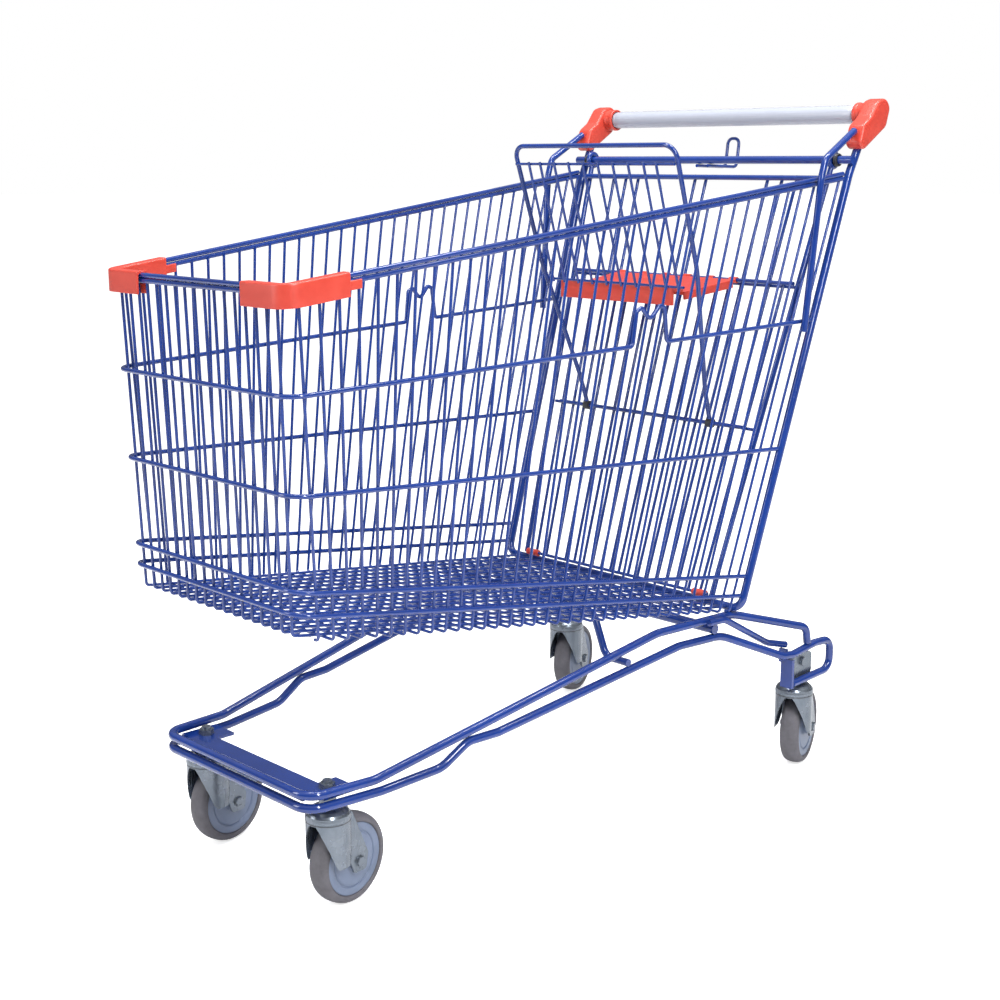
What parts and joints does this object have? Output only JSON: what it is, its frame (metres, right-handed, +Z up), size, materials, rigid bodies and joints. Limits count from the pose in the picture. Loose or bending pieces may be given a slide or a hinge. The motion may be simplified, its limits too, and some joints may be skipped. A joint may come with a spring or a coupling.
{
  "type": "rolling basket trolley",
  "caption": "Wire basket trolley on a rod chassis with swivel castors, swing-up rear gate and a folding child seat.",
  "frame": {"origin": "on the floor under the middle of the whole trolley", "axes": "+Y towards the handle and the pushing customer, -Y towards the nose of the basket, +X to the right side seen from the nose facing the handle reversed, +Z up"},
  "size_m": [0.571, 1.0359, 1.0167],
  "materials": {
    "blue_powder_coat": "gloss blue powder coat over steel wire",
    "red_plastic": "moulded red plastic, satin gloss",
    "lavender_plastic": "smooth lavender grey handle sleeve",
    "galvanised_tube": "galvanised tube",
    "zinc_plate": "bright zinc plate",
    "dark_plastic": "dark moulded bush",
    "hub_plastic": "pale blue grey moulded wheel centre",
    "tyre_rubber": "grey rubber tread"
  },
  "bodies": {
    "basket_and_chassis": {"basket_rear_frame": "blue_powder_coat", "rear_crossbar": "blue_powder_coat", "crossbar_loop_hook": "blue_powder_coat", "basket_rim_upper": "blue_powder_coat", "basket_side_wires_right": "blue_powder_coat", "basket_side_wires_left": "blue_powder_coat", "basket_front_wires": "blue_powder_coat", "basket_floor_long_wires": "blue_powder_coat", "basket_floor_cross_wires": "blue_powder_coat", "basket_hoop_1": "blue_powder_coat", "basket_hoop_2": "blue_powder_coat", "basket_hoop_3": "blue_powder_coat", "basket_hoop_4": "blue_powder_coat", "corner_bumper_right": "red_plastic", "corner_bumper_left": "red_plastic", "handle_sleeve": "lavender_plastic", "handle_core_tube": "galvanised_tube", "handle_bracket_right": "red_plastic", "handle_bracket_left": "red_plastic", "handle_stay_right": "blue_powder_coat", "handle_stay_left": "blue_powder_coat", "chassis_upper_rail": "blue_powder_coat", "chassis_lower_rail": "blue_powder_coat", "chassis_cross_tube": "blue_powder_coat", "chassis_cradle_brace": "blue_powder_coat", "front_castor_plate": "blue_powder_coat", "rear_castor_ties": "blue_powder_coat", "rear_castor_straps": "blue_powder_coat", "rear_castor_saddles": "zinc_plate", "rear_saddle_bolts": "zinc_plate", "castor_kingpins": "zinc_plate", "castor_nuts": "zinc_plate"},
    "gate": {"gate_side_rods": "blue_powder_coat", "gate_top_bar": "blue_powder_coat", "gate_grille": "blue_powder_coat", "gate_leg_wires": "blue_powder_coat", "gate_seat_hinge_wire": "blue_powder_coat", "gate_seat_pivot_rod": "blue_powder_coat", "gate_bumpers": "red_plastic"},
    "child_seat_back": {"child_seat_loop": "blue_powder_coat", "child_seat_grille": "blue_powder_coat", "child_seat_eyes": "dark_plastic", "child_seat_front_rail": "red_plastic"},
    "child_seat_plate": {"child_seat_plate": "red_plastic"},
    "castor_fork_front_left": {"fork_front_left": "zinc_plate", "axle_bolt_front_left": "zinc_plate"},
    "castor_wheel_front_left": {"wheel_hub_front_left": "hub_plastic", "tyre_front_left": "tyre_rubber"},
    "castor_fork_front_right": {"fork_front_right": "zinc_plate", "axle_bolt_front_right": "zinc_plate"},
    "castor_wheel_front_right": {"wheel_hub_front_right": "hub_plastic", "tyre_front_right": "tyre_rubber"},
    "castor_fork_rear_left": {"fork_rear_left": "zinc_plate", "axle_bolt_rear_left": "zinc_plate"},
    "castor_wheel_rear_left": {"wheel_hub_rear_left": "hub_plastic", "tyre_rear_left": "tyre_rubber"},
    "castor_fork_rear_right": {"fork_rear_right": "zinc_plate", "axle_bolt_rear_right": "zinc_plate"},
    "castor_wheel_rear_right": {"wheel_hub_rear_right": "hub_plastic", "tyre_rear_right": "tyre_rubber"}
  },
  "joints": [
    {"name": "gate_swing", "type": "hinge", "parent": "basket_and_chassis", "child": "gate", "pos_m": [0, 0.43438, 0.9247], "axis": [-1, 0, 0], "range_deg": [0, 70]},
    {"name": "child_seat_fold", "type": "hinge", "parent": "gate", "child": "child_seat_back", "pos_m": [0, 0.30749, 0.5369], "axis": [-1, 0, 0], "range_deg": [0, 29]},
    {"name": "seat_plate_fold", "type": "hinge", "parent": "gate", "child": "child_seat_plate", "pos_m": [0, 0.37307, 0.74689], "axis": [-1, 0, 0], "range_deg": [0, 102.95]},
    {"name": "swivel_front_left", "type": "hinge", "parent": "basket_and_chassis", "child": "castor_fork_front_left", "pos_m": [-0.1335, -0.434, 0.13], "axis": [0, 0, 1], "continuous": true},
    {"name": "wheel_spin_front_left", "type": "hinge", "parent": "castor_fork_front_left", "child": "castor_wheel_front_left", "pos_m": [-0.13866, -0.40141, 0.059], "axis": [0.9877, 0.1564, 0], "continuous": true},
    {"name": "swivel_front_right", "type": "hinge", "parent": "basket_and_chassis", "child": "castor_fork_front_right", "pos_m": [0.1335, -0.434, 0.13], "axis": [0, 0, 1], "continuous": true},
    {"name": "wheel_spin_front_right", "type": "hinge", "parent": "castor_fork_front_right", "child": "castor_wheel_front_right", "pos_m": [0.12834, -0.40141, 0.059], "axis": [0.9877, 0.1564, 0], "continuous": true},
    {"name": "swivel_rear_left", "type": "hinge", "parent": "basket_and_chassis", "child": "castor_fork_rear_left", "pos_m": [-0.244, 0.384, 0.13], "axis": [0, 0, 1], "continuous": true},
    {"name": "wheel_spin_rear_left", "type": "hinge", "parent": "castor_fork_rear_left", "child": "castor_wheel_rear_left", "pos_m": [-0.25529, 0.41501, 0.059], "axis": [0.9397, 0.342, 0], "continuous": true},
    {"name": "swivel_rear_right", "type": "hinge", "parent": "basket_and_chassis", "child": "castor_fork_rear_right", "pos_m": [0.244, 0.384, 0.13], "axis": [0, 0, 1], "continuous": true},
    {"name": "wheel_spin_rear_right", "type": "hinge", "parent": "castor_fork_rear_right", "child": "castor_wheel_rear_right", "pos_m": [0.23271, 0.41501, 0.059], "axis": [0.9397, 0.342, 0], "continuous": true}
  ],
  "couplings": [
    {"joint": "seat_plate_fold", "follows": "child_seat_fold", "ratio": 3.55}
  ]
}
